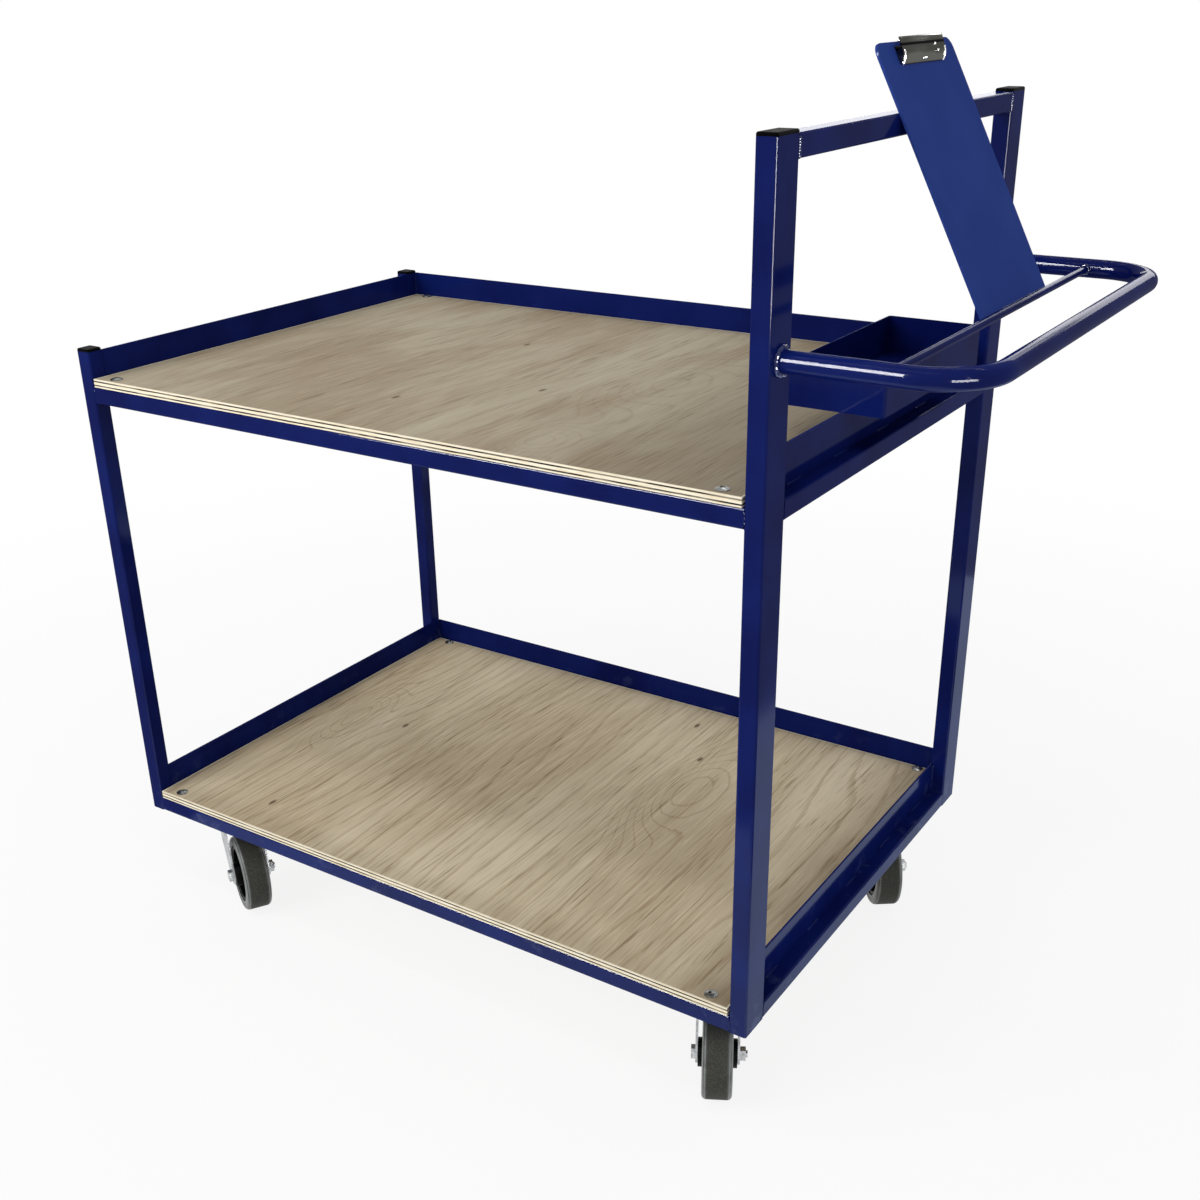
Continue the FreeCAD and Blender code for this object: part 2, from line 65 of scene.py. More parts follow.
# A socket that can be written in sums
class Value:
    def __init__(self, web, socket):
        self.web = web
        self.socket = socket

    def join(self, operation, first, second):
        return self.web.node("ShaderNodeMath", {"operation": operation}, {0: first, 1: second})

    def __add__(self, other):
        return self.join("ADD", self, other)

    def __sub__(self, other):
        return self.join("SUBTRACT", self, other)

    def __rsub__(self, other):
        return self.join("SUBTRACT", other, self)

    def __mul__(self, other):
        return self.join("MULTIPLY", self, other)

    def __truediv__(self, other):
        return self.join("DIVIDE", self, other)

    def __rtruediv__(self, other):
        return self.join("DIVIDE", other, self)

    def __pow__(self, other):
        return self.join("POWER", self, other)

    def __mod__(self, other):
        return self.join("MODULO", self, other)

    def __abs__(self):
        return self.join("ABSOLUTE", self, 0.0)

    __radd__ = __add__
    __rmul__ = __mul__


# A web of shader nodes, with the few patterns that the finishes share
class Web:
    def __init__(self, tree):
        self.tree = tree

    def feed(self, socket, value):
        if isinstance(value, Value):
            self.tree.links.new(value.socket, socket)
        else:
            socket.default_value = value

    def node(self, kind, settings, inputs, output=0):
        made = self.tree.nodes.new(kind)
        for key, value in settings.items():
            setattr(made, key, value)
        for key, value in inputs.items():
            self.feed(made.inputs[key], value)
        return Value(self, made.outputs[output])

    def place(self):
        return self.node("ShaderNodeTexCoord", {}, {}, "Object")

    def turned(self, vector, location=(0, 0, 0), scale=(1, 1, 1)):
        inputs = {"Vector": vector, "Location": location, "Scale": scale}
        return self.node("ShaderNodeMapping", {"vector_type": "POINT"}, inputs)

    def part(self, vector, axis):
        return self.node("ShaderNodeSeparateXYZ", {}, {"Vector": vector}, axis)

    def length(self, vector):
        return self.node("ShaderNodeVectorMath", {"operation": "LENGTH"}, {0: vector}, 1)

    def along(self, vector, axis):
        return self.node("ShaderNodeVectorMath", {"operation": "DOT_PRODUCT"}, {0: vector, 1: tuple(axis)}, 1)

    def least(self, first, second):
        return self.node("ShaderNodeMath", {"operation": "MINIMUM"}, {0: first, 1: second})

    def noise(self, vector, scale, detail=2.0, roughness=0.5, distortion=0.0):
        inputs = {"Vector": vector, "Scale": scale, "Detail": detail, "Roughness": roughness,
                  "Distortion": distortion}
        return self.node("ShaderNodeTexNoise", {"noise_dimensions": "3D"}, inputs)

    def rise(self, value, low, high):
        inputs = {"Value": value, "From Min": low, "From Max": high}
        return self.node("ShaderNodeMapRange", {"interpolation_type": "SMOOTHSTEP"}, inputs)

    def tint(self, factor, first, second):
        settings = {"data_type": "RGBA", "blend_type": "MIX"}
        return self.node("ShaderNodeMix", settings, {0: factor, 6: first, 7: second}, 2)

    def bump(self, height, strength, distance):
        return self.node("ShaderNodeBump", {}, {"Height": height, "Strength": strength, "Distance": distance})

    def seenDirectly(self):
        rays = [self.node("ShaderNodeLightPath", {}, {}, f"Is {kind} Ray")
                for kind in ("Camera", "Glossy", "Transmission")]
        return rays[0] + rays[1] + rays[2]


class Finish(Web):
    def __init__(self, name):
        self.material = bpy.data.materials.new(name)
        self.material.use_nodes = True
        super().__init__(self.material.node_tree)
        self.shader = self.tree.nodes["Principled BSDF"]

    def show(self, **sockets):
        for name, value in sockets.items():
            self.feed(self.shader.inputs[name.replace("_", " ")], value)
        return self.material


# Blue powder coat: slightly cloudy, with a fine orange peel under a thin gloss
bluePaint = {"colour": (15, 29, 94), "deep": (10, 20, 78), "cloudScale": 9.0, "cloudEdges": (0.3, 0.7),
             "gloss": 0.2, "dull": 0.34, "coat": 0.1, "coatRough": 0.09,
             "peelScale": 420.0, "peelStrength": 0.22, "peelDepth": 0.0005, "speckScale": 2600.0,
             "scuff": (112, 122, 156), "scuffHeights": (0.24, 0.15), "scuffScale": 22.0,
             "scuffEdges": (0.56, 0.74), "scuffShare": 0.26}


def makeBluePaint(name, settings):
    finish = Finish(name)
    place = finish.place()
    cloud = finish.noise(place, settings["cloudScale"], 3.0)
    peel = finish.noise(place, settings["peelScale"], 1.5)
    speck = finish.noise(place, settings["speckScale"], 1.0)
    tone = finish.rise(cloud, *settings["cloudEdges"])
    colour = finish.tint(tone, toLinear(*settings["deep"]), toLinear(*settings["colour"]))
    # Boots and loads scuff the lowest rails and post ends
    near = finish.rise(finish.part(place, "Z"), *settings["scuffHeights"])
    patch = finish.noise(place, settings["scuffScale"], 5.0, 0.65)
    scuff = near * finish.rise(patch, *settings["scuffEdges"])
    colour = finish.tint(settings["scuffShare"] * scuff, colour, toLinear(*settings["scuff"]))
    rough = between(settings["gloss"], settings["dull"], 0.6 * tone + 0.4 * speck)
    normal = finish.bump(peel + 0.25 * speck, settings["peelStrength"], settings["peelDepth"])
    return finish.show(Base_Color=colour, Roughness=rough, Normal=normal, Specular_IOR_Level=0.0,
                       Coat_Weight=settings["coat"], Coat_Roughness=settings["coatRough"])


# The board's sheet is smoother and brighter than the frame, and the beads at the handle glint more
boardPaint = dict(bluePaint, colour=(43, 65, 137), deep=(39, 60, 131), coat=0.03)
weldPaint = dict(bluePaint, coat=0.6, coatRough=0.14)

# Plywood: face veneer with its grain across the trolley, and the plies on the edges
plywood = {"pale": (186, 175, 152), "mid": (162, 149, 124), "warm": (150, 125, 97), "pore": (97, 78, 56),
           "knot": (84, 60, 40), "grime": (112, 96, 74), "edgePale": (252, 243, 220),
           "edgeWarm": (234, 217, 182), "glue": (20, 14, 10),
           "rings": 24, "ringShift": 40, "lateStart": (0.76, 0.95), "lateEnd": (1.0, 0.97),
           "figureHeight": 0.22, "warmEdges": (0.56, 0.38), "fleckEdges": (0.44, 0.34), "fleckShare": 0.35,
           "fleckLift": 1.2, "poreEdges": (0.56, 0.66), "knotHalf": (0.005, 0.012), "knotShare": 0.85,
           "lipGrime": 0.55, "lipFull": 0.03, "edgeGrime": (0.085, 0.035),
           "arris": (0.0024, 0.0012), "arrisShare": 0.75, "plyLine": 0.24, "plyHalf": (0.1, 0.065),
           "rough": 0.56, "shine": 0.15, "grainStrength": 0.2, "grainDepth": 0.0006}

# Layers of the veneer and the plies: scale along x, y and z, detail, roughness and distortion
veneer = {"blotch": ((5.0, 2.0, 1), 3.0, 0.55, 0.4), "band": ((24, 1.6, 1), 2.0, 0.5, 0.6),
          "streak": ((230, 6, 1), 4.0, 0.62, 0.35), "pores": ((340, 11, 1), 2.5, 0.6, 0.2),
          "sway": ((3.0, 1.1, 1), 1.5, 0.4, 0.3),
          "fibre": ((30, 30, 800), 4.0, 0.6, 0.0), "broken": ((16, 16, 160), 3.0, 0.6, 0.0)}
# Each deck's lift is painted light: it pales the lower deck against the shade under the upper deck and
# darkens the upper deck
decks = {"upper_deck": {"shift": (0.31, 1.7, 0.0), "lift": 0.83, "lines": 0.45, "spread": 0.15,
                        "trodden": 0.0, "grimeReach": 0.5, "mix": (0.52, 0.3, 0.18), "warmth": 0.34,
                        "figures": [(0.084, 0.02, 0.11, 0.2), (0.094, -0.3, 0.07, 0.1)],
                        "knots": [(-0.224, 0.124), (-0.039, -0.097), (-0.193, -0.228)]},
         "lower_deck": {"shift": (2.43, 0.2, 3.1), "lift": 1.4, "lines": 1.0, "spread": 0.19,
                        "trodden": 0.22, "grimeReach": 0.14, "mix": (0.42, 0.36, 0.22), "warmth": 0.16,
                        "figures": [(0.083, 0.088, 0.085, 0.2), (-0.56, 0.01, 0.05, 0.16)],
                        "knots": [(-0.006, 0.298), (0.06, 0.192), (-0.453, 0.025), (-0.463, -0.299)]}}


def makePlywood(name, deck, settings):
    low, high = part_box(deck)
    finish = Finish(name)
    plain = finish.place()
    place = finish.turned(plain, location=settings["shift"])
    x, y, z = (finish.part(plain, axis) for axis in "XYZ")

    def layer(kind, vector):
        scale, detail, roughness, distortion = veneer[kind]
        return finish.noise(finish.turned(vector, scale=scale), 1.0, detail, roughness, distortion)

    # A veneer colour scaled by the deck's lift, which is painted light, and for the flecks also by their own
    # paleness
    def shade(tone, lift=settings["lift"]):
        return tuple(min(1.0, part * lift) for part in toLinear(*plywood[tone])[:3]) + (1.0,)

    def away(middle, half):
        inside = finish.turned(plain, scale=(1 / half[0], 1 / half[1], 0),
                               location=(-middle[0] / half[0], -middle[1] / half[1], 0))
        return finish.length(inside)

    # Broad bands, streaks and short pores, all drawn out along the grain
    blotch, band, streak, pores = (layer(kind, place) for kind in ("blotch", "band", "streak", "pores"))
    field = 1.5 * x + 0.4 * layer("sway", place)
    for figure in settings["figures"]:
        bulge = finish.rise(away(figure[:2], figure[2:]) + 0.2 * blotch, 1.2, 0.1)
        field = field + plywood["figureHeight"] * bulge
    growth = (plywood["rings"] * field + 0.35 * streak + plywood["ringShift"]) % 1.0
    late = finish.rise(growth, *plywood["lateStart"]) * finish.rise(growth, *plywood["lateEnd"])
    late = late * settings["lines"]
    broad, middling, fine = settings["mix"]
    spread = settings["spread"]
    tone = finish.rise(broad * blotch + middling * band + fine * streak, 0.5 - spread, 0.5 + spread)
    face = finish.tint(tone, shade("mid"), shade("pale"))
    warm = settings["warmth"] * finish.rise(blotch, *plywood["warmEdges"]) + 0.3 * late
    face = finish.tint(warm, face, shade("warm"))
    fleck = plywood["fleckShare"] * finish.rise(pores, *plywood["fleckEdges"])
    face = finish.tint(fleck, face, shade("pale", plywood["fleckLift"] * settings["lift"]))
    depth = 0.24 + 0.3 * finish.rise(band, 0.6, 0.35)
    mark = finish.rise(pores, *plywood["poreEdges"]) * depth + 0.16 * late
    face = finish.tint(mark, face, shade("pore"))
    for knot in settings["knots"]:
        spot = plywood["knotShare"] * finish.rise(away(knot, plywood["knotHalf"]), 1.0, 0.35)
        face = finish.tint(spot, face, toLinear(*plywood["knot"]))
    # Darker along the rear lip, partly dirt and partly painted shade, and on the lower deck a painted shadow
    # inside the loading edge
    dirtAndShadeByLip = finish.rise(high.x - x + 0.06 * blotch, settings["grimeReach"], plywood["lipFull"])
    shadowByEdge = settings["trodden"] * finish.rise(y - low.y + 0.04 * blotch, *plywood["edgeGrime"])
    face = finish.tint(plywood["lipGrime"] * dirtAndShadeByLip + shadowByEdge, face, shade("grime"))
    # A sawn arris that stays pale
    rim = finish.least(finish.least(x - low.x, high.x - x), finish.least(y - low.y, high.y - y))
    sawn = plywood["arrisShare"] * finish.rise(rim, *plywood["arris"])
    edgePale = toLinear(*plywood["edgePale"])
    face = finish.tint(sawn, face, edgePale)

    # Plies by height, with the dark lines between them
    span = (z - low.z) / (high.z - low.z)
    fibre = finish.rise(layer("fibre", plain), 0.42, 0.66)
    edge = finish.tint(fibre, edgePale, toLinear(*plywood["edgeWarm"]))
    line = finish.rise(abs(abs(span - 0.5) - plywood["plyLine"]), *plywood["plyHalf"])
    line = line * between(0.62, 1.0, finish.rise(layer("broken", plain), 0.36, 0.54))
    edge = finish.tint(line, edge, toLinear(*plywood["glue"]))
    normalZ = finish.part(finish.node("ShaderNodeNewGeometry", {}, {}, "True Normal"), "Z")
    colour = finish.tint(finish.rise(abs(normalZ), 0.4, 0.6), edge, face)
    rough = plywood["rough"] + 0.16 * streak + 0.1 * mark
    normal = finish.bump(0.6 * streak - 1.2 * mark, plywood["grainStrength"], plywood["grainDepth"])
    return finish.show(Base_Color=colour, Roughness=rough, Normal=normal,
                       Specular_IOR_Level=plywood["shine"])


# Black plastic of the caps, and the glossier one of the wheel centres
capBlack = {"colour": (7, 7, 7), "worn": (19, 19, 18), "wornShare": 0.5, "gloss": 0.34, "dull": 0.55,
            "cloudScale": 40.0, "grain": 1500.0, "grainStrength": 0.25, "grainDepth": 0.0003, "shine": 0.01}
wheelBlack = dict(capBlack, grain=900.0, shine=0.12)


def makeBlackPlastic(name, settings):
    finish = Finish(name)
    place = finish.place()
    spark = finish.noise(place, settings["grain"], 3.0)
    mark = finish.rise(finish.noise(place, settings["cloudScale"], 2.0), 0.4, 0.8)
    worn = settings["wornShare"] * mark
    colour = finish.tint(worn, toLinear(*settings["colour"]), toLinear(*settings["worn"]))
    rough = between(settings["gloss"], settings["dull"], 0.5 * spark + 0.5 * mark)
    normal = finish.bump(spark, settings["grainStrength"], settings["grainDepth"])
    return finish.show(Base_Color=colour, Roughness=rough, Normal=normal,
                       Specular_IOR_Level=settings["shine"])


# Zinc plating on forks, plates, bolts and screws
forkZinc = {"bright": (200, 202, 205), "grey": (156, 158, 158), "gloss": 0.18, "dull": 0.4,
            "cloudScale": 55.0, "drawnScale": 160.0, "drawnStretch": (1, 1, 9),
            "drawnStrength": 0.08, "drawnDepth": 0.0004}
smallZinc = dict(forkZinc, cloudScale=165.0, drawnScale=480.0)
screwZinc = dict(smallZinc, bright=(158, 160, 158), grey=(112, 114, 112), gloss=0.2, dull=0.36)
boltZinc = dict(smallZinc, bright=(206, 208, 210), grey=(150, 152, 152), gloss=0.12, dull=0.3)


def makeZincPlate(name, settings):
    finish = Finish(name)
    place = finish.place()
    cloud = finish.noise(place, settings["cloudScale"], 3.0, 0.6)
    drawn = finish.noise(finish.turned(place, scale=settings["drawnStretch"]), settings["drawnScale"], 2.0)
    tone = finish.rise(0.6 * cloud + 0.4 * drawn, 0.35, 0.65)
    colour = finish.tint(tone, toLinear(*settings["grey"]), toLinear(*settings["bright"]))
    rough = between(settings["dull"], settings["gloss"], tone)
    normal = finish.bump(drawn, settings["drawnStrength"], settings["drawnDepth"])
    return finish.show(Base_Color=colour, Metallic=1.0, Roughness=rough, Normal=normal)


# Rolled edge, cheek rims, pressed rib, domes and wire ends on the clip's jaw, measured from its pin
clip = {"tilt": 27.94, "half": 0.066, "margin": 0.004, "roll": 0.0014, "rollAt": (0.0135, 0.0055),
        "dome": 0.0018, "domes": ((0.036, -0.0045, 0.0048), (0.034, 0.0035, 0.005)),
        "rib": (0.0005, -0.0102, 0.0006), "ribSize": (0.0014, 0.0066, 0.0014),
        "ball": 0.0021, "balls": ((-0.0645, -0.0125, -0.001), (-0.0625, 0.0118, 0.0035)),
        "cheek": 0.0013, "cheekSides": 12, "peak": 0.0046, "reach": 0.014, "drop": 0.0084,
        "sides": 16, "bands": 10, "rollBevel": 0.6}

# Chrome of the lever clip, its colours and rim tint darkened as a painted dark reflection, with painted shade
# in the fold between its lever and its cover
chromePlate = {"bright": (104, 104, 99), "grey": (72, 72, 68), "fold": (5, 5, 5), "gloss": 0.06, "dull": 0.16,
               "smear": (30, 8, 60), "foldAt": 0.0062, "foldEdges": (0.00208, 0.00112), "rimTint": 0.5}
chromeTrim = dict(chromePlate, bright=(238, 239, 240), grey=(206, 207, 206), fold=(238, 239, 240),
                  rimTint=1.0)


# The clip's pin, with the ways up the board and out of it
def clipFrame():
    tilt = math.radians(clip["tilt"])
    pin = Vector(joints["clip_lever_press"]["pos_m"])
    up = Vector((-math.sin(tilt), 0, math.cos(tilt)))
    out = Vector((math.cos(tilt), 0, math.sin(tilt)))
    return pin, up, out


def makeChromePlate(name, settings):
    finish = Finish(name)
    place = finish.place()
    smear = finish.noise(finish.turned(place, scale=settings["smear"]), 1.0, 2.0)
    tone = finish.rise(smear, 0.35, 0.65)
    colour = finish.tint(tone, toLinear(*settings["grey"]), toLinear(*settings["bright"]))
    pin, up = clipFrame()[:2]
    # Painted shade: a dark band at the fold, in the gap between the lever and the cover
    fromFold = abs(finish.along(place, up) - pin.dot(up) - settings["foldAt"])
    colour = finish.tint(finish.rise(fromFold, *settings["foldEdges"]), colour, toLinear(*settings["fold"]))
    rough = between(settings["gloss"], settings["dull"], tone)
    return finish.show(Base_Color=colour, Metallic=1.0, Roughness=rough,
                       Specular_Tint=(settings["rimTint"],) * 3 + (1.0,))


# Grey rubber, centred on each wheel: dusty tread, walls paler as a painted sheen with streaks partly rubbed
# wear and partly painted sheen, fine moulded rings on the walls
greyRubber = {"colour": (51, 52, 45), "dark": (38, 39, 35), "shoulder": (134, 138, 137), "dust": (92, 90, 78),
              "cloudScale": 38.0, "gritScale": 560.0, "rubScale": 520, "treadEdges": (0.0175, 0.0125),
              "dustShare": 0.5, "shoulderShare": 0.1, "rubShare": 0.75, "gloss": 0.34, "dull": 0.68,
              "ringPitch": 0.0016, "ringHeight": 200, "bumpStrength": 0.2, "bumpDepth": 0.0005, "shine": 0.45}


def makeGreyRubber(corner):
    low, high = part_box(corner + "_tyre")
    axis = Vector(joints[corner + "_wheel_roll"]["axis"]).normalized()
    finish = Finish("greyRubber" + corner.title().replace("_", ""))
    place = finish.place()
    centred = finish.turned(place, location=tuple((low + high) / -2))
    along = finish.along(centred, axis)
    reach = (finish.length(centred) ** 2.0 - along ** 2.0) ** 0.5
    cloud = finish.noise(place, greyRubber["cloudScale"], 4.0, 0.6)
    grit = finish.noise(place, greyRubber["gritScale"], 3.0, 0.6)
    mottle = finish.rise(0.6 * cloud + 0.4 * grit, 0.36, 0.66)
    colour = finish.tint(mottle, toLinear(*greyRubber["dark"]), toLinear(*greyRubber["colour"]))
    onTread = finish.rise(abs(along), *greyRubber["treadEdges"])
    onWall = 1 - onTread
    dusty = greyRubber["dustShare"] * onTread * finish.rise(grit, 0.5, 0.7)
    colour = finish.tint(dusty, colour, toLinear(*greyRubber["dust"]))
    drawn = finish.node("ShaderNodeCombineXYZ", {}, {0: greyRubber["rubScale"] * along,
                                                     1: greyRubber["rubScale"] * reach})
    # Pale streaks on the walls, partly rubbed wear and partly painted sheen, over walls made paler as a
    # painted sheen
    wearAndSheen = onWall * finish.rise(finish.noise(drawn, 1.0, 2.0) + 0.4 * cloud, 0.62, 0.8)
    paleSheenAndWear = greyRubber["shoulderShare"] * onWall + greyRubber["rubShare"] * wearAndSheen
    colour = finish.tint(paleSheenAndWear, colour, toLinear(*greyRubber["shoulder"]))
    ring = finish.node("ShaderNodeMath", {"operation": "PINGPONG"}, {0: reach, 1: greyRubber["ringPitch"]})
    height = onWall * ring * greyRubber["ringHeight"] + 0.5 * grit
    rough = between(greyRubber["gloss"], greyRubber["dull"], onTread) + 0.12 * cloud
    normal = finish.bump(height, greyRubber["bumpStrength"], greyRubber["bumpDepth"])
    return finish.show(Base_Color=colour, Roughness=rough, Normal=normal,
                       Specular_IOR_Level=greyRubber["shine"])


def dress(node, material):
    shown = nodes[node]
    shown.data.materials.clear()
    shown.data.materials.append(material)


bluePowderCoat = makeBluePaint("bluePowderCoat", bluePaint)
boardBlue = makeBluePaint("boardBlue", boardPaint)
weldBlue = makeBluePaint("weldBlue", weldPaint)
capPlastic = makeBlackPlastic("capPlastic", capBlack)
wheelPlastic = makeBlackPlastic("wheelPlastic", wheelBlack)
zincBright = makeZincPlate("zincBright", forkZinc)
zincBolt = makeZincPlate("zincBolt", boltZinc)
zincScrew = makeZincPlate("zincScrew", screwZinc)
brightChrome = makeChromePlate("brightChrome", chromePlate)
trimChrome = makeChromePlate("trimChrome", chromeTrim)
glossy = bpy.data.collections.new("glossyPieces")  # the pieces that the bright cards show on

for name in nodes:
    if name in decks:
        dress(name, makePlywood(name.replace("_d", "D"), name, decks[name]))
    elif name.endswith("_tyre"):
        dress(name, makeGreyRubber(name.removesuffix("_tyre")))
    elif name.endswith("_wheel_centre"):
        dress(name, wheelPlastic)
    elif name.endswith("_post_caps"):
        dress(name, capPlastic)
    elif name.startswith("clip_"):
        dress(name, brightChrome)
        glossy.objects.link(nodes[name])
    elif name.endswith(("_fork", "_caster_plate")):
        dress(name, zincBright)
    elif name.endswith(("_axle_bolt", "_king_pins", "caster_bolts")):
        dress(name, zincBolt)
    elif name.endswith("_screws"):
        dress(name, zincScrew)
    else:
        dress(name, boardBlue if name == "clipboard" else bluePowderCoat)
        glossy.objects.link(nodes[name])
print("finishes on the solids")


def finishMesh(mesh, name, material, body):
    bmesh.ops.recalc_face_normals(mesh, faces=mesh.faces)
    for face in mesh.faces:
        face.smooth = True
    data = bpy.data.meshes.new(name)
    mesh.to_mesh(data)
    mesh.free()
    data.materials.append(material)
    piece = bpy.data.objects.new(name, data)
    scene.collection.objects.link(piece)
    glossy.objects.link(piece)
    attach(piece, body)


# Painted weld beads at the frame's joints
weld = {"radius": 0.0024, "pitch": 0.0052, "wobble": 0.16, "blunt": 0.45, "stitch": 0.034, "lipStitches": 5,
        "trayStitches": 3, "inset": 0.0035, "stop": 0.003, "ground": 0.0016, "sunk": 0.0008, "fillet": 0.0042,
        "filletSeat": 0.001, "filletProud": 0.0012, "ringPitch": 1.6, "sides": 8, "ripple": 4}


def layBead(mesh, run, place):
    bmesh.ops.transform(run, matrix=place, verts=run.verts)
    laid = bpy.data.meshes.new("bead")
    run.to_mesh(laid)
    run.free()
    mesh.from_mesh(laid)
    bpy.data.meshes.remove(laid)


# A straight bead: a rod that swells with each drop and closes to a blunt end
def seam(mesh, start, end, radius=weld["radius"]):
    way = Vector(end) - Vector(start)
    drops = max(1, round(way.length / weld["pitch"]))
    run = bmesh.new()
    bmesh.ops.create_cone(run, cap_ends=True, segments=weld["sides"], radius1=radius, radius2=radius,
                          depth=way.length)
    along = [edge for edge in run.edges if abs(edge.verts[0].co.z - edge.verts[1].co.z) > radius]
    bmesh.ops.subdivide_edges(run, edges=along, cuts=weld["ripple"] * drops - 1, use_grid_fill=True)
    for vert in run.verts:
        share = vert.co.z / way.length + 0.5
        swell = 1 - weld["wobble"] * math.cos(2 * math.pi * drops * share)
        if min(share, 1 - share) < 0.001:
            swell = weld["blunt"]
        vert.co.x *= swell
        vert.co.y *= swell
    layBead(mesh, run, stood((Vector(start) + Vector(end)) / 2, way))


def stitches(mesh, start, end, count):
    run = Vector(end) - Vector(start)
    half = run.normalized() * weld["stitch"] / 2
    for number in range(count):
        middle = Vector(start) + run * ((number + 0.5) / count)
        seam(mesh, middle - half, middle + half)


# A bead run all round a tube, with drops of uneven size
def ring(mesh, centre, normal, radius, thick):
    drops = round(2 * math.pi * radius / (weld["ringPitch"] * thick))
    run = bmesh.new()
    stand = Matrix.Translation((radius, 0, 0)) @ Matrix.Rotation(math.pi / 2, 4, "X")
    bmesh.ops.create_circle(run, segments=weld["sides"], radius=thick, matrix=stand)
    bmesh.ops.spin(run, geom=run.verts[:] + run.edges[:], cent=(0, 0, 0), axis=(0, 0, 1), angle=2 * math.pi,
                   steps=weld["ripple"] * drops, use_merge=True)
    for vert in run.verts:
        heading = math.atan2(vert.co.y, vert.co.x)
        core = radius * Vector((math.cos(heading), math.sin(heading), 0))
        swell = math.sin(drops * heading) + 0.7 * math.sin(5 * heading + 1)
        swell += 0.6 * math.sin(1.7 * drops * heading)
        vert.co = core + (vert.co - core) * (1 + weld["wobble"] * swell)
    layBead(mesh, run, stood(centre, normal))


def railWelds():
    mesh = bmesh.new()
    inset = weld["inset"]
    for level in ("lower", "upper"):
        for side in ("left", "right"):
            low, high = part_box(f"{level}_{side}_rail")
            outer = low.y + weld["sunk"] if side == "left" else high.y - weld["sunk"]
            for x in (low.x, high.x):
                seam(mesh, (x, low.y + inset, high.z), (x, high.y - inset, high.z))
                seam(mesh, (x, outer, low.z + inset), (x, outer, high.z - inset), weld["ground"])
                if level == "upper":
                    seam(mesh, (x, low.y + inset, low.z), (x, high.y - inset, low.z))
        for end in ("front", "rear"):
            low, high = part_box(f"{level}_{end}_rail")
            for y in (low.y, high.y):
                seam(mesh, (low.x + inset, y, high.z), (high.x - inset, y, high.z))
                if level == "upper":
                    seam(mesh, (low.x + inset, y, low.z), (high.x - inset, y, low.z))
    finishMesh(mesh, "railWelds", bluePowderCoat, "trolley_frame")


def lipWelds():
    mesh = bmesh.new()
    for level in ("lower", "upper"):
        for end in ("front", "rear"):
            low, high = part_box(f"{level}_{end}_lip")
            x = low.x if end == "front" else high.x
            stitches(mesh, (x, low.y, low.z), (x, high.y, low.z), weld["lipStitches"])
            for y in (low.y, high.y):
                seam(mesh, (x, y, low.z), (x, y, high.z - weld["stop"]))
        low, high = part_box(f"{level}_side_lip")
        for x in (low.x, high.x):
            seam(mesh, (x, low.y, low.z), (x, low.y, high.z - weld["stop"]))
    finishMesh(mesh, "lipWelds", bluePowderCoat, "trolley_frame")


def handleWelds():
    mesh = bmesh.new()
    low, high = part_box("push_handle")
    radius = (high.z - low.z) / 2
    height = (high.z + low.z) / 2
    for y in (low.y + radius, high.y - radius):
        ring(mesh, (low.x + weld["filletSeat"], y, height), (1, 0, 0), radius + weld["filletProud"],
             weld["fillet"])
    low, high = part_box("board_rest_rod")
    middle = (low + high) / 2
    for y in (low.y, high.y):
        ring(mesh, (middle.x, y, middle.z), (0, 1, 0), (high.x - low.x) / 2, weld["radius"])
    low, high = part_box("crossbar")
    stop = weld["stop"]
    for y in (low.y, high.y):
        seam(mesh, (high.x - weld["sunk"], y, low.z), (high.x - weld["sunk"], y, high.z - stop))
        seam(mesh, (low.x + stop, y, low.z), (high.x - stop, y, low.z))
    finishMesh(mesh, "handleWelds", weldBlue, "trolley_frame")


def trayWelds():
    mesh = bmesh.new()
    low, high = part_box("pen_tray")
    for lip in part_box("upper_rear_lip"):
        stitches(mesh, (lip.x, low.y, low.z), (lip.x, high.y, low.z), weld["trayStitches"])
    finishMesh(mesh, "trayWelds", bluePowderCoat, "trolley_frame")


railWelds()
lipWelds()
handleWelds()
trayWelds()
print("weld beads made")


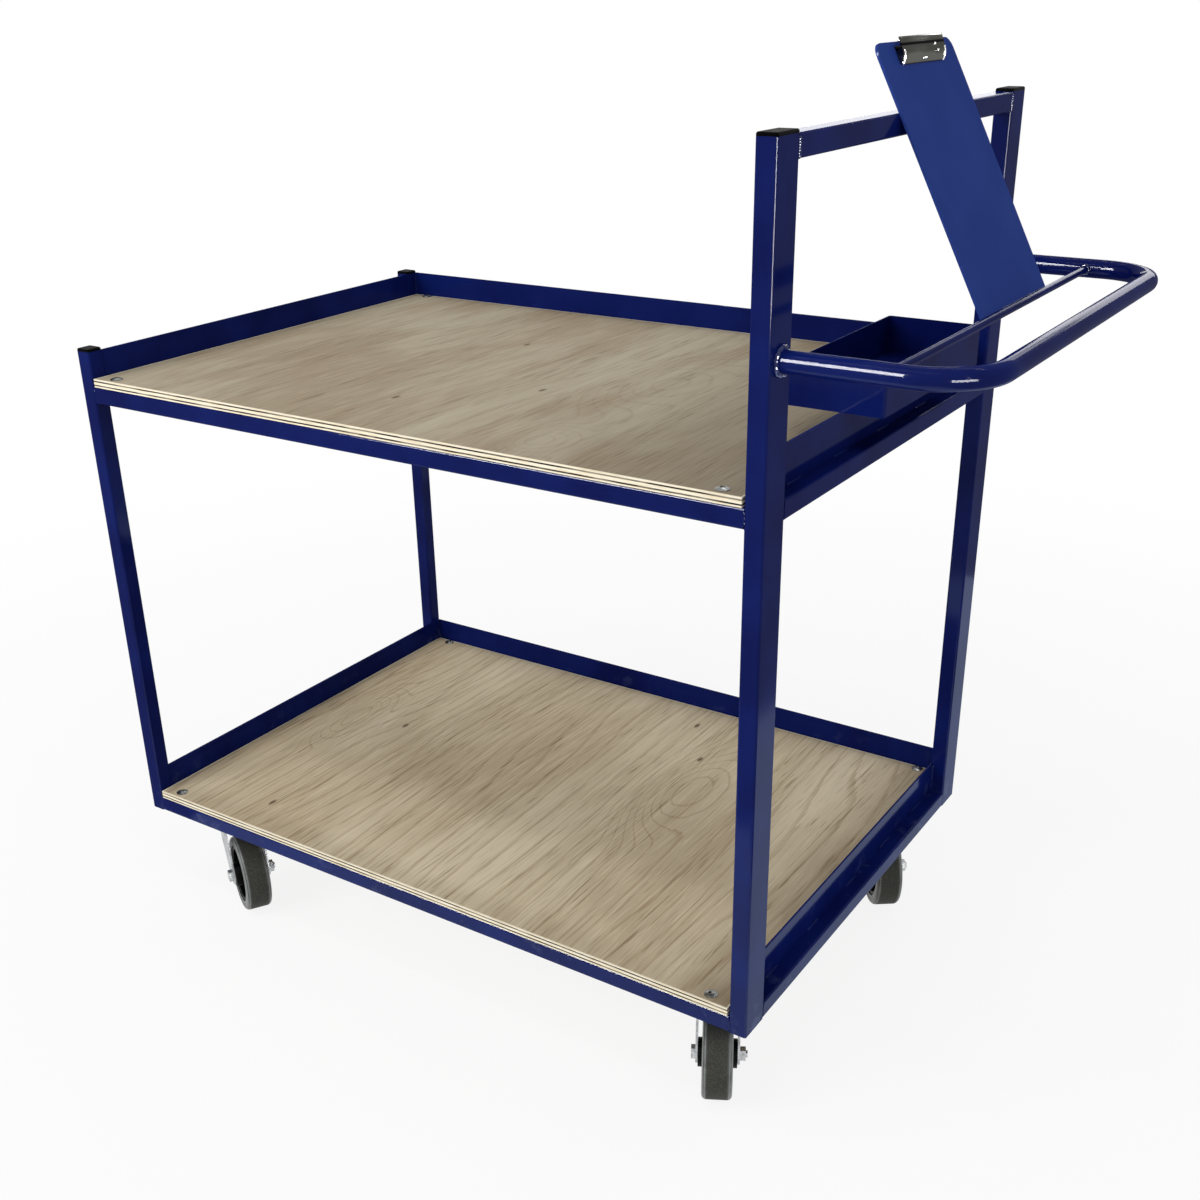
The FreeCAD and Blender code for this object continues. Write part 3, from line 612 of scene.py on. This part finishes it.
def clipDetails():
    mesh = bmesh.new()
    pin, up, out = clipFrame()

    def at(across, rise, stand):
        return pin + Vector((0, across, 0)) + up * rise + out * stand

    def drop(place, size):
        bmesh.ops.create_uvsphere(mesh, u_segments=clip["sides"], v_segments=clip["bands"], radius=1.0,
                                  matrix=Matrix.Translation(place) @ Matrix.Diagonal((*size, 1)))

    for place in clip["domes"]:
        drop(at(*place), (clip["dome"],) * 3)
    for place in clip["balls"]:
        drop(at(*place), (clip["ball"],) * 3)
    drop(at(*clip["rib"]), clip["ribSize"])
    # Cheek rims that follow the cover's curl from the pin to the lip
    half = clip["half"] - clip["margin"]
    halfTurn = math.atan2(clip["drop"], clip["reach"])
    radius = math.hypot(clip["drop"], clip["reach"]) / (2 * math.sin(halfTurn))
    for across in (-half, half):
        stand = stood(at(across, 0, clip["peak"]), up)
        made = bmesh.ops.create_circle(mesh, cap_ends=True, segments=clip["cheekSides"],
                                       radius=clip["cheek"], matrix=stand)
        rim = made["verts"]
        edges = {edge for vert in rim for edge in vert.link_edges}
        faces = {face for vert in rim for face in vert.link_faces}
        bmesh.ops.spin(mesh, geom=[*rim, *edges, *faces], cent=at(across, 0, clip["peak"] - radius),
                       axis=(0, 1, 0), angle=2 * halfTurn, steps=clip["sides"])
    finishMesh(mesh, "clipDetails", trimChrome, "clip_lever")
    roll = bmesh.new()
    turn = Matrix.Rotation(math.pi / 2, 4, "X")
    bmesh.ops.create_cone(roll, cap_ends=True, segments=clip["sides"], radius1=clip["roll"],
                          radius2=clip["roll"], depth=2 * half,
                          matrix=Matrix.Translation(at(0, *clip["rollAt"])) @ turn)
    rims = [edge for edge in roll.edges if any(len(face.verts) > 4 for face in edge.link_faces)]
    bmesh.ops.bevel(roll, geom=rims, offset=clip["rollBevel"] * clip["roll"], affect="EDGES", segments=3,
                    profile=0.5, material=-1)
    finishMesh(roll, "clipRolledEdge", brightChrome, "clip_lever")


clipDetails()
print("clip details made")


# Camera at the photograph's angle
view = {"place": (1.11239, -1.70526, 1.38530), "azimuth": 33.653, "elevation": 25.315, "roll": -1.004,
        "sensor": 36.0, "lens": 43.274, "shiftX": 0.00344, "shiftY": 0.05926, "near": 0.05, "far": 200.0}


def makeCamera():
    data = bpy.data.cameras.new("camera")
    camera = bpy.data.objects.new("camera", data)
    scene.collection.objects.link(camera)
    turn = Matrix.Rotation(math.radians(view["azimuth"]), 4, "Z")
    lean = Matrix.Rotation(math.radians(90 - view["elevation"]), 4, "X")
    roll = Matrix.Rotation(math.radians(view["roll"]), 4, "Z")
    camera.matrix_world = Matrix.Translation(view["place"]) @ turn @ lean @ roll
    data.sensor_width = view["sensor"]
    data.lens = view["lens"]
    data.shift_x = view["shiftX"]
    data.shift_y = view["shiftY"]
    data.clip_start = view["near"]
    data.clip_end = view["far"]
    scene.camera = camera


# White studio: a large pale floor, a soft sky, a key box, two strips overhead and one at the side
studio = {"floor": (236, 236, 236), "fleck": (228, 228, 228), "fleckScale": 14.0, "fleckShare": 0.1,
          "floorHalf": 300.0, "floorDrop": 0.0005, "floorRough": 0.8, "floorShine": 0.1,
          "glowNear": 0.87, "glowStart": 0.8, "glowEnd": 2.8, "sky": 0.5,
          "lampAim": (0, 0, 0.6), "cardAim": (0.5, 0, 1.0)}
lamps = {"keyBox": {"place": (-1.5, -3.2, 2.5), "size": (2.0, 2.0), "power": 72.0},
         "ceilingLeft": {"place": (-0.1, -1.2, 3.3), "size": (2.6, 0.06), "power": 13.0},
         "ceilingRight": {"place": (0.4, 1.3, 3.2), "size": (2.6, 0.06), "power": 11.0},
         "sideStrip": {"place": (3.0, -1.3, 1.5), "size": (0.06, 1.8), "power": 9.0}}

# Bright cards that only show as highlights in the paint and the clip, two of them flat like the near floor
cards = {"floorLeft": {"place": (0.1, -0.72, 0.004), "aim": (0.1, -0.72, 1.0), "size": (1.8, 0.66),
                       "glare": 4.2, "tint": (0.62, 0.76, 1.0)},
         "floorRear": {"place": (0.72, 0.55, 0.004), "aim": (0.72, 0.55, 1.0), "size": (0.52, 2.3),
                       "glare": 3.8, "tint": (0.62, 0.76, 1.0)},
         "windowCard": {"place": (-1.73, -3.6, 2.7), "size": (2.4, 1.8), "glare": 170.0},
         "cornerCard": {"place": (3.1, -1.7, 0.9), "size": (1.8, 0.9), "glare": 115.0},
         "gripCard": {"place": (0.25, 4.0, 2.0), "size": (1.8, 0.8), "glare": 14.0},
         "barCard": {"place": (-1.52, 4.6, 1.62), "size": (1.4, 0.45), "glare": 12.5},
         "rodCard": {"place": (0.2, 4.0, 2.72), "size": (1.2, 0.4), "glare": 9.0}}


def makeFloor():
    mesh = bmesh.new()
    bmesh.ops.create_grid(mesh, x_segments=1, y_segments=1, size=studio["floorHalf"],
                          matrix=Matrix.Translation((0, 0, -studio["floorDrop"])))
    data = bpy.data.meshes.new("floor")
    mesh.to_mesh(data)
    mesh.free()
    finish = Finish("paleFloor")
    place = finish.place()
    fleck = studio["fleckShare"] * finish.noise(place, studio["fleckScale"], 3.0)
    colour = finish.tint(fleck, toLinear(*studio["floor"]), toLinear(*studio["fleck"]))
    finish.show(Base_Color=colour, Roughness=studio["floorRough"], Specular_IOR_Level=studio["floorShine"])
    # White to the camera and in reflections, less so near the trolley, where its shadow shows
    far = finish.rise(finish.length(place), studio["glowStart"], studio["glowEnd"])
    share = between(studio["glowNear"], 1, far)
    glow = finish.node("ShaderNodeEmission", {}, {"Color": (1, 1, 1, 1), "Strength": 1.0})
    lit = Value(finish, finish.shader.outputs[0])
    mixed = finish.node("ShaderNodeMixShader", {}, {0: share * finish.seenDirectly(), 1: lit, 2: glow})
    finish.feed(finish.tree.nodes["Material Output"].inputs["Surface"], mixed)
    data.materials.append(finish.material)
    floor = bpy.data.objects.new("floor", data)
    scene.collection.objects.link(floor)


def makeSky():
    world = bpy.data.worlds.new("studioSky")
    scene.world = world
    world.use_nodes = True
    web = Web(world.node_tree)
    sky = world.node_tree.nodes["Background"]
    web.feed(sky.inputs["Color"], (1, 1, 1, 1))
    web.feed(sky.inputs["Strength"], between(studio["sky"], 1, web.seenDirectly()))


def makeLamp(name, lamp, aim):
    data = bpy.data.lights.new(name, "AREA")
    data.shape = "RECTANGLE"
    data.size, data.size_y = lamp["size"]
    light = bpy.data.objects.new(name, data)
    scene.collection.objects.link(light)
    light.matrix_world = stood(lamp["place"], Vector(aim) - Vector(lamp["place"]), "-Z")
    if "power" in lamp:
        data.energy = lamp["power"]
    else:
        data.energy = lamp["glare"] * math.pi * data.size * data.size_y
        light.visible_camera = False
        light.visible_diffuse = False
        light.light_linking.receiver_collection = glossy
    if "tint" in lamp:
        data.color = lamp["tint"]


makeCamera()
makeFloor()
makeSky()
for lampName, lamp in lamps.items():
    makeLamp(lampName, lamp, studio["lampAim"])
for cardName, card in cards.items():
    makeLamp(cardName, card, card.get("aim", studio["cardAim"]))
print("camera, floor and lights set")
